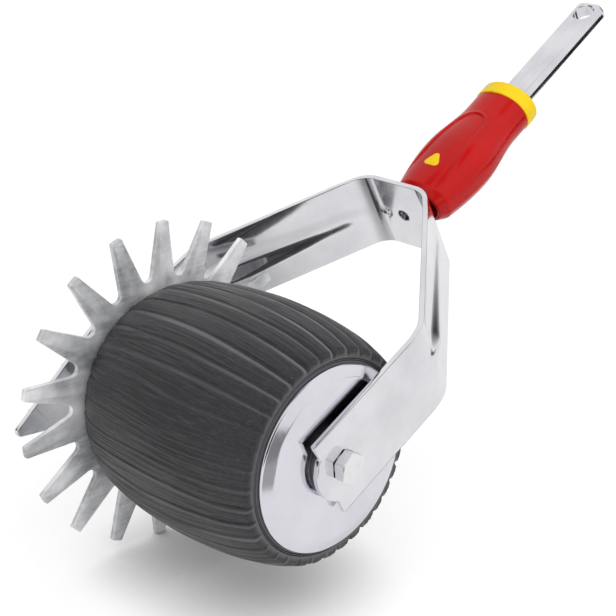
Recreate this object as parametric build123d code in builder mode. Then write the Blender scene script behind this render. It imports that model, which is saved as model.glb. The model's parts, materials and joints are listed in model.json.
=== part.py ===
from build123d import *
import os
from math import asin, atan2, cos, degrees, hypot, pi, radians, sin, tan

# Head of a rotary lawn edger: a star blade and a ribbed rubber roller turn together in a bent steel fork,
# and a flat tang above the fork plugs into a long handle.
# Millimetres and degrees. The tool's own axes are x along the axle from the blade to the bright end disc,
# v from the axle up the fork to the handle, and w square to both, up.

os.makedirs("parts", exist_ok=True)

# Driving dimensions: pose of the tool in its frame
fork_pitch = 26.7
tang_rise = 3.15

# Driving dimensions: star blade
spike_count = 18
blade_tip_d = 185.0
blade_floor_d = 122.5
gullet_r = 3.8
spike_tip_w = 6.5
blade_t = 3.0
blade_spigot_d = 44.0

# Driving dimensions: rubber tyre
tyre_len = 128.5
tyre_crown_d = 135.0
tyre_left_d = 108.0
tyre_right_d = 114.5
shoulder_len = 22.0
shoulder_drop = 3.6
tyre_wall = 8.0
rib_count = 36
rib_w = 5.6
rib_h = 1.7
rib_root = 1.0
rib_left_end = 2.0
rib_right_end = 1.0

# Driving dimensions: drum inside the tyre
core_wall = 3.0
core_web_t = 4.0
hub_wall = 4.0
core_screw_d = 4.0
core_screw_pcd = 64.0
core_screw_count = 3
core_screw_grip = 30.0
core_screw_head_d = 7.0
core_screw_head_h = 2.6
screw_boss_wall = 3.0

# Driving dimensions: end disc
disc_d = 99.0
disc_t = 1.6
disc_dish = 2.2
disc_stand_out = 2.4
disc_rim_depth = 4.0
disc_bevel = 6.6

# Driving dimensions: blade clamp
clamp_d = 92.0
clamp_t = 3.0
clamp_screw_d = 5.0
clamp_screw_inset = 8.25
clamp_screw_count = 6
clamp_screw_depth = 14.0
clamp_head_d = 9.5
clamp_head_h = 2.8
clamp_head_round = 1.6

# Driving dimensions: axle and bearings
bolt_d = 10.0
hex_flats = 15.0
hex_head_h = 6.4
hex_crown = 1.2
hex_turn = 8.0
nut_h = 10.0
nut_insert_h = 3.0
nut_insert_wall = 1.4
nut_washer_d = 21.0
nut_washer_t = 2.0
bolt_stick_out = 3.0
axle_sleeve_d = 16.0
bush_wall = 3.0
bush_len = 22.0
bush_flange_d = 34.0
right_flange_t = 1.2
left_flange_proud = 1.0
spacer_d = 27.0
thrust_washer_t = 1.2
left_reach = 33.25

# Driving dimensions: fork
strip_w = 48.5
strip_t = 3.0
bridge_height = 164.0
bridge_flat = 44.2
bridge_shift = 3.0
bend_height = 73.0
bridge_bend_r = 9.0
arm_bend_r = 24.0
arm_end = 11.7
lug_r = 19.2
cheek_tip_v = 78.0
cheek_tip_w = 15.9
cheek_tip_r = 3.0
cheek_top_w = 34.0
cheek_neck = 38.0
cheek_heel_v = 16.0
cheek_corner_r = 9.0
bead_len = 98.0
bead_w = 12.5
bead_h = 2.6
bead_taper = 35.0
bead_wall = 1.5
bead_shift = 2.0
bridge_hole_d = 7.5
bridge_hole_x = 3.7
punch_mark_d = 4.0
punch_mark_depth = 0.8
punch_mark_x = 16.7

# Driving dimensions: tang and its weld
tang_len = 196.5
tang_w = 19.0
tang_t = 8.0
tang_edge_r = 2.6
tang_end_r = 5.0
tang_hole_d = 13.0
tang_hole_inset = 10.5
weld_leg = 4.0
weld_slope = 40.0

# Driving dimensions: sleeve, collar and inlay on the tang
sleeve_start = 7.5
sleeve_len = 85.5
sleeve_foot_rx = 17.6
sleeve_belly_rx = 22.6
sleeve_waist_rx = 18.4
sleeve_belly_at = 37.5
sleeve_waist_at = 74.0
sleeve_flatness = 0.78
sleeve_sections = 8
collar_len = 10.0
collar_rx = 19.4
collar_rw = 15.6
collar_edge_r = 1.6
panel_depth = 0.8
panel_start = 4.0
panel_len = 62.0
panel_foot_w = 25.0
panel_head_w = 15.0
inlay_w = 13.0
inlay_h = 11.5
inlay_t = 1.2
inlay_proud = 0.3
inlay_at = 24.0
inlay_corner_r = 2.0

# Clearances
run_gap = 0.05
seat_gap = 0.05
thread_gap = 0.05
hole_gap = 0.25
end_play = 0.3

# Places along the axle, counted from the blade's right face
blade_left_x = -blade_t
clamp_left_x = blade_left_x - clamp_t
left_bush_x = clamp_left_x - left_flange_proud
left_washer_x = left_bush_x - end_play - thrust_washer_t
left_in_x = blade_left_x - left_reach
left_out_x = left_in_x - strip_t
nut_seat_x = left_out_x - nut_washer_t
nut_end_x = nut_seat_x - nut_h
bolt_end_x = nut_end_x - bolt_stick_out
tyre_mid_x = tyre_len / 2
disc_rim_x = tyre_len + disc_stand_out
disc_seat_x = disc_rim_x - disc_rim_depth
disc_face_x = disc_rim_x + disc_dish
disc_back_x = disc_face_x - disc_t
right_bush_x = disc_face_x + right_flange_t
right_in_x = right_bush_x + end_play + thrust_washer_t
right_out_x = right_in_x + strip_t
bolt_head_x = right_out_x + hex_head_h
fork_centre_x = (left_in_x + right_in_x) / 2

# Radii about the axle
bolt_r = bolt_d / 2
bolt_hole_r = bolt_r + hole_gap
thread_r = bolt_r + thread_gap
axle_r = axle_sleeve_d / 2
axle_seat_r = axle_r + seat_gap
bush_bore_r = axle_r + run_gap
bush_r = bush_bore_r + bush_wall
hub_bore_r = bush_r + seat_gap
hub_r = hub_bore_r + hub_wall
flange_r = bush_flange_d / 2
spigot_r = blade_spigot_d / 2
tip_r = blade_tip_d / 2
disc_r = disc_d / 2
insert_r = bolt_r + nut_insert_wall
hex_r = hex_flats / 2 / cos(radians(30))
core_drop = rib_h + tyre_wall + seat_gap
clamp_circle_r = tyre_left_d / 2 - core_drop - clamp_screw_inset

# Where the blade reaches furthest down and back, which sets the floor and the rear of the box
spike_step = 360 / spike_count
tip_half_angle = degrees(asin(spike_tip_w / 2 / tip_r))


def blade_reach(angle):
    """Furthest reach of the blade in a direction, given as an angle from v towards w."""
    off = abs((angle + spike_step / 2) % spike_step - spike_step / 2)
    return tip_r * cos(radians(max(off - tip_half_angle, 0)))


# The frame's origin is on the floor under the middle of the whole tool
grip_pitch = radians(fork_pitch + tang_rise)
bridge_out_v = bridge_height + strip_t
tang_reach = bridge_out_v * cos(radians(fork_pitch)) + tang_len * cos(grip_pitch) + tang_t / 2 * sin(grip_pitch)
axle_x = -(bolt_end_x + bolt_head_x) / 2
axle_y = (blade_reach(180 - fork_pitch) - tang_reach) / 2
axle_z = blade_reach(270 - fork_pitch)

x_axis = Vector(1, 0, 0)
v_axis = Vector(0, cos(radians(fork_pitch)), sin(radians(fork_pitch)))
w_axis = x_axis.cross(v_axis)
tool = Plane(origin=(axle_x, axle_y, axle_z), x_dir=x_axis, z_dir=w_axis)
axle = Axis(tool.origin, x_axis)

# The grip's own directions: along the tang, and square to its flat
grip_axis = Vector(0, cos(grip_pitch), sin(grip_pitch))
grip_up = x_axis.cross(grip_axis)
grip_root = tool.from_local_coords((fork_centre_x, bridge_out_v, 0))
face = Plane(origin=grip_root, x_dir=x_axis, z_dir=grip_up)
bridge_top = Plane(origin=grip_root, x_dir=x_axis, z_dir=v_axis)


def across(x):
    """Plane square to the axle at x, with v to the right and w up."""
    return Plane(origin=tool.from_local_coords((x, 0, 0)), x_dir=v_axis, z_dir=x_axis)


def station(h):
    """Plane square to the tang, h above the bridge."""
    return Plane(origin=face.from_local_coords((0, h, 0)), x_dir=x_axis, z_dir=grip_axis)


def ring_sketch(x, outer_r, inner_r):
    """Ring about the axle, drawn square to it at x."""
    with BuildSketch(across(x)) as drawn:
        Circle(outer_r)
        Circle(inner_r, mode=Mode.SUBTRACT)
    return drawn.sketch


def round_sketch(x, radius):
    """Disc about the axle, drawn square to it at x."""
    with BuildSketch(across(x)) as drawn:
        Circle(radius)
    return drawn.sketch


def clamp_sketch(x, radius):
    """Round spots on the clamp screws' circle, drawn square to the axle at x."""
    with BuildSketch(across(x)) as drawn:
        with PolarLocations(clamp_circle_r, clamp_screw_count):
            Circle(radius)
    return drawn.sketch


def core_sketch(x, radius):
    """Round spots on the core screws' circle, between the clamp screws, drawn square to the axle at x."""
    with BuildSketch(across(x)) as drawn:
        with PolarLocations(core_screw_pcd / 2, core_screw_count, start_angle=180 / clamp_screw_count):
            Circle(radius)
    return drawn.sketch


def hex_sketch(x):
    """Hexagon about the axle, drawn square to it at x."""
    with BuildSketch(across(x)) as drawn:
        RegularPolygon(hex_r, 6, rotation=hex_turn)
    return drawn.sketch


def barrel_line(drop):
    """Barrel profile lowered by drop: a crown arc with a tangent arc over each shoulder."""
    crown_r = tyre_crown_d / 2 - drop
    left = (0, tyre_left_d / 2 - drop)
    left_shoulder = (shoulder_len, crown_r - shoulder_drop)
    right_shoulder = (tyre_len - shoulder_len, crown_r - shoulder_drop)
    right = (tyre_len, tyre_right_d / 2 - drop)
    crown = ThreePointArc(left_shoulder, (tyre_mid_x, crown_r), right_shoulder)
    TangentArc(right_shoulder, right, tangent=crown % 1)
    TangentArc(left_shoulder, left, tangent=(crown % 0) * -1)
    return left, right


def barrel_sketch(x_from, x_to, drop, wall):
    """Half section of a barrel shell of a given wall, cut off at x_from and x_to."""
    with BuildSketch(tool) as drawn:
        with BuildLine():
            outer_left, outer_right = barrel_line(drop)
            inner_left, inner_right = barrel_line(drop + wall)
            Line(outer_left, inner_left)
            Line(outer_right, inner_right)
        make_face()
        with Locations(((x_from + x_to) / 2, 0)):
            Rectangle(x_to - x_from, tyre_crown_d, mode=Mode.INTERSECT)
    return drawn.sketch


def web_sketch(x_from, x_to):
    """Half section of a web that fills the drum's barrel from the axle out, between x_from and x_to."""
    with BuildSketch(tool) as drawn:
        with BuildLine():
            left, right = barrel_line(core_drop)
            Polyline(left, (0, 0), (tyre_len, 0), right)
        make_face()
        with Locations(((x_from + x_to) / 2, 0)):
            Rectangle(x_to - x_from, tyre_crown_d, mode=Mode.INTERSECT)
    return drawn.sketch


# Star blade: a disc with round-floored gullets between truncated spikes
gullet_centre_r = blade_floor_d / 2 + gullet_r
tip_gap_angle = radians(spike_step / 2 - tip_half_angle)
gap_corner_r = tip_r * cos(tip_gap_angle)
gap_corner_w = tip_r * sin(tip_gap_angle)
gap_run = gap_corner_r - gullet_centre_r
flank_angle = atan2(gap_corner_w, gap_run) - asin(gullet_r / hypot(gap_corner_w, gap_run))
gap_floor_r = gullet_centre_r - gullet_r * sin(flank_angle)
gap_floor_w = gullet_r * cos(flank_angle)
gap_mouth_r = tip_r + gullet_r
gap_mouth_w = gap_corner_w + (gap_mouth_r - gap_corner_r) * tan(flank_angle)

with BuildPart() as star_blade:
    with BuildSketch(across(blade_left_x)):
        Circle(tip_r)
        with PolarLocations(0, spike_count, start_angle=spike_step / 2):
            Polygon(
                (gap_floor_r, gap_floor_w),
                (gap_floor_r, -gap_floor_w),
                (gap_mouth_r, -gap_mouth_w),
                (gap_mouth_r, gap_mouth_w),
                align=None,
                mode=Mode.SUBTRACT,
            )
        with PolarLocations(gullet_centre_r, spike_count, start_angle=spike_step / 2):
            Circle(gullet_r, mode=Mode.SUBTRACT)
        Circle(spigot_r + seat_gap, mode=Mode.SUBTRACT)
    extrude(amount=blade_t)
    extrude(clamp_sketch(blade_left_x, clamp_screw_d / 2 + hole_gap), amount=blade_t, mode=Mode.SUBTRACT)
star_blade.part.label = "star_blade"
export_step(star_blade.part, "parts/star_blade.step")

# Clamp plate: disc that holds the blade against the drum
with BuildPart() as blade_clamp_plate:
    extrude(ring_sketch(clamp_left_x, clamp_d / 2, flange_r + hole_gap), amount=clamp_t)
    extrude(clamp_sketch(clamp_left_x, clamp_screw_d / 2 + hole_gap), amount=clamp_t, mode=Mode.SUBTRACT)
blade_clamp_plate.part.label = "blade_clamp_plate"
export_step(blade_clamp_plate.part, "parts/blade_clamp_plate.step")

# Clamp screws: domed heads outside the clamp plate, shanks in the drum's left half
with BuildPart() as blade_screws:
    extrude(clamp_sketch(clamp_left_x, clamp_head_d / 2), amount=-clamp_head_h)
    fillet(blade_screws.edges().group_by(Axis.X)[0], clamp_head_round)
    extrude(clamp_sketch(clamp_left_x, clamp_screw_d / 2), amount=clamp_t + blade_t + clamp_screw_depth)
blade_screws.part.label = "blade_screws"
export_step(blade_screws.part, "parts/blade_screws.step")

# Ribs of the tyre: a thin barrel band, kept only where bars run along the axle
with BuildPart() as tyre_ribs:
    revolve(barrel_sketch(rib_left_end, tyre_len - rib_right_end, 0, rib_h + rib_root), axis=axle)
    with BuildSketch(across(0)):
        with PolarLocations(tyre_crown_d / 2, rib_count):
            Rectangle(tyre_crown_d - tyre_left_d + tyre_wall, rib_w)
    extrude(amount=tyre_len, mode=Mode.INTERSECT)

# Rubber tyre: ribbed barrel with a barrel bore and a seat for the end disc
with BuildPart() as rubber_tyre:
    revolve(barrel_sketch(0, tyre_len, rib_h, tyre_wall), axis=axle)
    add(tyre_ribs.part)
    extrude(round_sketch(disc_seat_x, disc_r + seat_gap), amount=disc_rim_depth, mode=Mode.SUBTRACT)
rubber_tyre.part.label = "rubber_tyre"
export_step(rubber_tyre.part, "parts/rubber_tyre.step")

# Drum, left half: barrel shell, web, hub, screw bosses, and a spigot that centres the blade
core_boss_r = core_screw_d / 2 + screw_boss_wall
clamp_boss_r = clamp_screw_d / 2 + screw_boss_wall
core_screw_end_x = tyre_mid_x - core_screw_grip
with BuildPart() as left_core:
    revolve(barrel_sketch(0, tyre_mid_x, core_drop, core_wall), axis=axle)
    revolve(web_sketch(0, core_web_t), axis=axle)
    extrude(round_sketch(blade_left_x, spigot_r), amount=blade_t)
    extrude(round_sketch(0, hub_r), amount=tyre_mid_x)
    extrude(core_sketch(0, core_boss_r), amount=tyre_mid_x)
    extrude(clamp_sketch(0, clamp_boss_r), amount=clamp_screw_depth + screw_boss_wall)
    extrude(round_sketch(blade_left_x, hub_bore_r), amount=tyre_mid_x - blade_left_x, mode=Mode.SUBTRACT)
    extrude(clamp_sketch(0, clamp_screw_d / 2 + thread_gap), amount=clamp_screw_depth, mode=Mode.SUBTRACT)
    core_pilots = core_sketch(core_screw_end_x, core_screw_d / 2 + thread_gap)
    extrude(core_pilots, amount=core_screw_grip, mode=Mode.SUBTRACT)
left_core.part.label = "left_core"
export_step(left_core.part, "parts/left_core.step")

# Drum, right half: barrel shell, web behind the end disc, and a hub that carries the disc
with BuildPart() as right_core:
    revolve(barrel_sketch(tyre_mid_x, disc_seat_x, core_drop, core_wall), axis=axle)
    revolve(web_sketch(disc_seat_x - core_web_t, disc_seat_x), axis=axle)
    extrude(round_sketch(tyre_mid_x, hub_r), amount=disc_back_x - tyre_mid_x)
    extrude(core_sketch(tyre_mid_x, core_boss_r), amount=disc_seat_x - tyre_mid_x)
    extrude(round_sketch(tyre_mid_x, hub_bore_r), amount=disc_back_x - tyre_mid_x, mode=Mode.SUBTRACT)
    core_holes = core_sketch(tyre_mid_x, core_screw_d / 2 + hole_gap)
    extrude(core_holes, amount=disc_seat_x - tyre_mid_x, mode=Mode.SUBTRACT)
right_core.part.label = "right_core"
export_step(right_core.part, "parts/right_core.step")

# Core screws: long screws from the right web into the left half's bosses
with BuildPart() as core_screws:
    extrude(core_sketch(core_screw_end_x, core_screw_d / 2), amount=disc_seat_x - core_screw_end_x)
    extrude(core_sketch(disc_seat_x, core_screw_head_d / 2), amount=core_screw_head_h)
core_screws.part.label = "core_screws"
export_step(core_screws.part, "parts/core_screws.step")

# End disc: pressed sheet with a rim, a bevel and a flat face, held by the right bush's flange
with BuildPart() as end_disc:
    with BuildSketch(tool):
        with BuildLine():
            Polyline(
                (disc_seat_x, disc_r - disc_t),
                (disc_seat_x, disc_r),
                (disc_rim_x, disc_r),
                (disc_face_x, disc_r - disc_bevel),
                (disc_face_x, hub_bore_r),
                (disc_back_x, hub_bore_r),
                (disc_back_x, disc_r - disc_bevel - disc_t / 2),
                (disc_rim_x - disc_t / 2, disc_r - disc_t),
                close=True,
            )
        make_face()
    revolve(axis=axle)
end_disc.part.label = "end_disc"
export_step(end_disc.part, "parts/end_disc.step")

# Bushes: flanged plain bearings pressed into the hub from both ends
with BuildPart() as left_bush:
    extrude(ring_sketch(left_bush_x, flange_r, bush_bore_r), amount=blade_left_x - left_bush_x)
    extrude(ring_sketch(blade_left_x, bush_r, bush_bore_r), amount=bush_len)
left_bush.part.label = "left_bush"
export_step(left_bush.part, "parts/left_bush.step")

with BuildPart() as right_bush:
    extrude(ring_sketch(disc_face_x, flange_r, bush_bore_r), amount=right_flange_t)
    extrude(ring_sketch(disc_face_x, bush_r, bush_bore_r), amount=-bush_len)
right_bush.part.label = "right_bush"
export_step(right_bush.part, "parts/right_bush.step")

# Axle sleeve: tube clamped between the arms, on which the bushes run
with BuildPart() as axle_sleeve:
    extrude(ring_sketch(left_in_x, axle_r, bolt_hole_r), amount=right_in_x - left_in_x)
axle_sleeve.part.label = "axle_sleeve"
export_step(axle_sleeve.part, "parts/axle_sleeve.step")

# Thrust washers, and the spacer that keeps the roller off the left arm
with BuildPart() as right_thrust_washer:
    extrude(ring_sketch(right_in_x, flange_r, axle_seat_r), amount=-thrust_washer_t)
right_thrust_washer.part.label = "right_thrust_washer"
export_step(right_thrust_washer.part, "parts/right_thrust_washer.step")

with BuildPart() as left_thrust_washer:
    extrude(ring_sketch(left_washer_x, flange_r, axle_seat_r), amount=thrust_washer_t)
left_thrust_washer.part.label = "left_thrust_washer"
export_step(left_thrust_washer.part, "parts/left_thrust_washer.step")

with BuildPart() as left_spacer:
    extrude(ring_sketch(left_in_x, spacer_d / 2, axle_seat_r), amount=left_washer_x - left_in_x)
left_spacer.part.label = "left_spacer"
export_step(left_spacer.part, "parts/left_spacer.step")

# Axle bolt: hexagon head outside the right arm, with its corners turned down to a cone
with BuildPart() as axle_bolt:
    extrude(hex_sketch(right_out_x), amount=hex_head_h)
    with BuildSketch(tool):
        with BuildLine():
            Polyline(
                (right_out_x, 0),
                (right_out_x, hex_r),
                (bolt_head_x - hex_crown, hex_r),
                (bolt_head_x, hex_flats / 2 - hex_crown / 2),
                (bolt_head_x, 0),
                close=True,
            )
        make_face()
    revolve(axis=axle, mode=Mode.INTERSECT)
    extrude(round_sketch(right_out_x, bolt_r), amount=bolt_end_x - right_out_x)
axle_bolt.part.label = "axle_bolt"
export_step(axle_bolt.part, "parts/axle_bolt.step")

# Lock nut, with a nylon ring let into its outer end, and the washer under it
with BuildPart() as axle_nut:
    extrude(hex_sketch(nut_end_x), amount=nut_h)
    extrude(round_sketch(nut_end_x, thread_r), amount=nut_h, mode=Mode.SUBTRACT)
    extrude(round_sketch(nut_end_x, insert_r + seat_gap), amount=nut_insert_h, mode=Mode.SUBTRACT)
axle_nut.part.label = "axle_nut"
export_step(axle_nut.part, "parts/axle_nut.step")

with BuildPart() as nut_insert:
    extrude(ring_sketch(nut_end_x, insert_r, thread_r), amount=nut_insert_h)
nut_insert.part.label = "nut_insert"
export_step(nut_insert.part, "parts/nut_insert.step")

with BuildPart() as nut_washer:
    extrude(ring_sketch(nut_seat_x, nut_washer_d / 2, bolt_hole_r), amount=nut_washer_t)
nut_washer.part.label = "nut_washer"
export_step(nut_washer.part, "parts/nut_washer.step")

# Fork: one bent strip, drawn along its inner face and thickened outwards
bridge_left_x = fork_centre_x - bridge_shift - bridge_flat / 2
bridge_right_x = bridge_left_x + bridge_flat
slant_v = bridge_height - bend_height
bridge_under = bridge_top.offset(-strip_t)


def shoulder_plane(side):
    """Plane on a shoulder's inner face, facing out, on side 1 (right) or -1 (left)."""
    foot_x, head_x = (right_in_x, bridge_right_x) if side > 0 else (left_in_x, bridge_left_x)
    along = (x_axis * (foot_x - head_x) - v_axis * slant_v).normalized()
    outward = along.cross(w_axis) * -side
    middle = tool.from_local_coords(((foot_x + head_x) / 2, bridge_height - slant_v / 2, 0))
    return Plane(origin=middle - along * bead_shift, x_dir=along, z_dir=outward)


with BuildPart() as fork:
    with BuildSketch(tool):
        with BuildLine():
            inner_face = FilletPolyline(
                (right_in_x, -arm_end),
                (right_in_x, bend_height),
                (bridge_right_x, bridge_height),
                (bridge_left_x, bridge_height),
                (left_in_x, bend_height),
                (left_in_x, cheek_neck),
                radius=[arm_bend_r, bridge_bend_r, bridge_bend_r, arm_bend_r],
            )
            offset(inner_face, amount=strip_t, side=Side.RIGHT)
        make_face()
    extrude(amount=strip_w / 2, both=True)
    extrude(round_sketch(right_in_x, lug_r), amount=strip_t)
    with BuildSketch(across(left_out_x)):
        with BuildLine():
            FilletPolyline(
                (cheek_neck, strip_w / 2),
                (0, cheek_top_w),
                (-cheek_tip_v, cheek_tip_w),
                (-cheek_heel_v, -strip_w / 2),
                (cheek_neck, -strip_w / 2),
                radius=[cheek_corner_r, cheek_tip_r, cheek_corner_r],
            )
            Line((cheek_neck, -strip_w / 2), (cheek_neck, strip_w / 2))
        make_face()
    extrude(amount=strip_t)
    for side in (1, -1):
        with BuildSketch(shoulder_plane(side).offset(strip_t / 2)):
            SlotOverall(bead_len + 2 * bead_wall, bead_w + 2 * bead_wall)
        extrude(amount=bead_h + strip_t / 2, taper=bead_taper)
        with BuildSketch(shoulder_plane(side)):
            SlotOverall(bead_len, bead_w)
        extrude(amount=bead_h, taper=bead_taper, mode=Mode.SUBTRACT)
    extrude(round_sketch(left_out_x, bolt_hole_r), amount=right_out_x - left_out_x, mode=Mode.SUBTRACT)
    with BuildSketch(bridge_under):
        with Locations((-bridge_hole_x, 0)):
            Circle(bridge_hole_d / 2)
    extrude(amount=strip_t, mode=Mode.SUBTRACT)
    with BuildSketch(bridge_under):
        with Locations((-punch_mark_x, 0)):
            Circle(punch_mark_d / 2)
    extrude(amount=punch_mark_depth, mode=Mode.SUBTRACT)
fork.part.label = "fork"
export_step(fork.part, "parts/fork.step")

# Tang: flat bar with rounded edges, a rounded end and a lock hole, standing on the bridge
with BuildPart() as tang:
    with BuildSketch(station(-tang_t)):
        RectangleRounded(tang_w, tang_t, tang_edge_r)
    extrude(amount=tang_len + tang_t)
    with BuildSketch(face):
        RectangleRounded(tang_w, 2 * tang_len, tang_end_r)
    extrude(amount=tang_t, both=True, mode=Mode.INTERSECT)
    with BuildSketch(face):
        with Locations((0, tang_len - tang_hole_inset)):
            Circle(tang_hole_d / 2)
    extrude(amount=tang_t, both=True, mode=Mode.SUBTRACT)
    split(bisect_by=bridge_top, keep=Keep.TOP)
tang.part.label = "tang"
export_step(tang.part, "parts/tang.step")

# Weld: sloped bead round the tang's foot
with BuildPart() as tang_weld:
    with BuildSketch(bridge_top):
        RectangleRounded(tang_w + 2 * weld_leg, tang_t + 2 * weld_leg, weld_leg)
    extrude(amount=weld_leg, taper=weld_slope)
    add(tang.part, mode=Mode.SUBTRACT)
tang_weld.part.label = "tang_weld"
export_step(tang_weld.part, "parts/tang_weld.step")


def sleeve_rx(h):
    """Half width of the sleeve at h from its foot: swells to a belly, then eases into a waist."""
    if h < sleeve_belly_at:
        return sleeve_foot_rx + (sleeve_belly_rx - sleeve_foot_rx) * sin(pi / 2 * h / sleeve_belly_at)
    ease = min((h - sleeve_belly_at) / (sleeve_waist_at - sleeve_belly_at), 1)
    return sleeve_belly_rx - (sleeve_belly_rx - sleeve_waist_rx) * (1 - cos(pi * ease)) / 2


def sleeve_ovals(drop):
    """Ovals along the sleeve, each drop inside its skin."""
    ovals = []
    for step in range(sleeve_sections + 1):
        h = sleeve_len * step / sleeve_sections
        with BuildSketch(station(sleeve_start + h)) as drawn:
            Ellipse(sleeve_rx(h) - drop, sleeve_rx(h) * sleeve_flatness - drop)
        ovals.append(drawn.sketch)
    return ovals


def tang_slot():
    """Section of the slot that takes the tang, drawn at the sleeve's foot."""
    with BuildSketch(station(sleeve_start)) as drawn:
        RectangleRounded(tang_w + 2 * seat_gap, tang_t + 2 * seat_gap, tang_edge_r + seat_gap)
    return drawn.sketch


def inlay_sketch(room):
    """Plain rounded triangle that points up the handle, with room all round."""
    with BuildSketch(face.offset(inlay_floor)) as drawn:
        with BuildLine():
            FilletPolyline(
                (-inlay_w / 2, sleeve_start + inlay_at - inlay_h / 2),
                (inlay_w / 2, sleeve_start + inlay_at - inlay_h / 2),
                (0, sleeve_start + inlay_at + inlay_h / 2),
                radius=inlay_corner_r,
                close=True,
            )
        make_face()
        offset(amount=room)
    return drawn.sketch


# Arch panel: the shallow recess on the sleeve's upper side
panel_foot_y = sleeve_start + panel_start
panel_head_y = panel_foot_y + panel_len - panel_head_w / 2
with BuildPart() as panel_cut:
    with BuildSketch(face):
        with BuildLine():
            Polyline(
                (-panel_head_w / 2, panel_head_y),
                (-panel_foot_w / 2, panel_foot_y),
                (panel_foot_w / 2, panel_foot_y),
                (panel_head_w / 2, panel_head_y),
            )
            ThreePointArc(
                (panel_head_w / 2, panel_head_y),
                (0, panel_foot_y + panel_len),
                (-panel_head_w / 2, panel_head_y),
            )
        make_face()
    extrude(amount=sleeve_belly_rx)
    loft(sleeve_ovals(panel_depth), mode=Mode.SUBTRACT)

# Sleeve: swelling oval grip moulded over the tang, with the arch panel and the inlay's pocket
inlay_floor = sleeve_rx(inlay_at) * sleeve_flatness - panel_depth + inlay_proud - inlay_t
with BuildPart() as grip_sleeve:
    loft(sleeve_ovals(0))
    add(panel_cut.part, mode=Mode.SUBTRACT)
    extrude(inlay_sketch(seat_gap), amount=sleeve_belly_rx, mode=Mode.SUBTRACT)
    extrude(tang_slot(), amount=sleeve_len, mode=Mode.SUBTRACT)
grip_sleeve.part.label = "grip_sleeve"
export_step(grip_sleeve.part, "parts/grip_sleeve.step")

# Inlay: plain triangle that stands a little proud of the panel and follows its curve
with BuildPart() as badge_inlay:
    loft(sleeve_ovals(panel_depth - inlay_proud))
    extrude(inlay_sketch(0), amount=sleeve_belly_rx, mode=Mode.INTERSECT)
badge_inlay.part.label = "badge_inlay"
export_step(badge_inlay.part, "parts/badge_inlay.step")

# Collar: oval ring above the sleeve
with BuildPart() as collar_ring:
    with BuildSketch(station(sleeve_start + sleeve_len)):
        Ellipse(collar_rx, collar_rw)
    extrude(amount=collar_len)
    fillet(collar_ring.edges(), collar_edge_r)
    extrude(tang_slot(), amount=sleeve_len + collar_len, mode=Mode.SUBTRACT)
collar_ring.part.label = "collar_ring"
export_step(collar_ring.part, "parts/collar_ring.step")
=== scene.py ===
import json
from math import acos, asin, atan2, copysign, cos, hypot, pi, radians, sin, tan

import bmesh
import bpy
import numpy as np
from mathutils import Euler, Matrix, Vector


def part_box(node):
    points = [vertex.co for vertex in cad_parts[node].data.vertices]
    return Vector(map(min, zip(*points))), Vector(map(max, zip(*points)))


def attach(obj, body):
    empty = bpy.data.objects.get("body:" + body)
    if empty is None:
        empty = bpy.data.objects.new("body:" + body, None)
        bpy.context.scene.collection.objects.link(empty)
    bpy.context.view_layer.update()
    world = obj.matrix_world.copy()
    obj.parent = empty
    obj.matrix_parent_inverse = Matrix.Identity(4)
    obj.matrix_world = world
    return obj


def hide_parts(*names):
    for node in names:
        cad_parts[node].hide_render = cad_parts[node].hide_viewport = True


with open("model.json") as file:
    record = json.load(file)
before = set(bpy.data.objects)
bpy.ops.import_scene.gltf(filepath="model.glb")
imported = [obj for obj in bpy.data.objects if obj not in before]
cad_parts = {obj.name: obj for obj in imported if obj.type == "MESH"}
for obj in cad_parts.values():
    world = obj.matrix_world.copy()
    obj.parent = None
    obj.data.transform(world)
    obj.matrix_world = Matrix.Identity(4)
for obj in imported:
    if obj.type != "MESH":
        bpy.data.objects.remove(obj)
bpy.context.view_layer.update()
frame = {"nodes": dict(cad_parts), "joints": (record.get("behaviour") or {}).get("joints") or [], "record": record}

# Metres and radians. The tool's own axes are x along the axle from the blade's right face, v from the axle
# up the fork to the handle, and w square to both, up. The grip's are x, h along the tang and u off its flat.
MM = 0.001
TURN = 2 * pi
SEED = 11
SHARP_ANGLE = radians(38)
RIM_ANGLE = radians(50)
JOIN_DISTANCE = 1e-6
TOUCH = 1e-9
LEAST_AREA = 1e-11

# Directions and places that the frame gives
mounts = {mount["name"]: mount for mount in frame["record"]["mounts"]}
lock_hole = mounts["handle_lock_hole"]
axle = Vector(frame["joints"][0]["pos_m"])
tang_end = Vector(mounts["tang"]["pos_m"])
grip_axis = Vector(mounts["tang"]["axis"])
grip_up = Vector(lock_hole["axis"])
x_axis = Vector((1, 0, 0))
TANG_RISE = radians(3.15)
fork_pitch = atan2(grip_axis.z, grip_axis.y) - TANG_RISE
v_axis = Vector((0, cos(fork_pitch), sin(fork_pitch)))
w_axis = x_axis.cross(v_axis)


def reach(node, direction, base):
    """Lowest and highest place of a CAD node along a direction, counted from a base point."""
    corners = np.array([vertex.co for vertex in frame["nodes"][node].data.vertices])
    places = (corners - np.array(base)) @ np.array(direction)
    return places.min(), places.max()


def span(node):
    """Both ends of a CAD node along the axle."""
    return reach(node, x_axis, axle)


def radius_of(node):
    """Outer radius of a CAD node about the axle."""
    low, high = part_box(node)
    return (high.z - low.z) / 2


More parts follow.
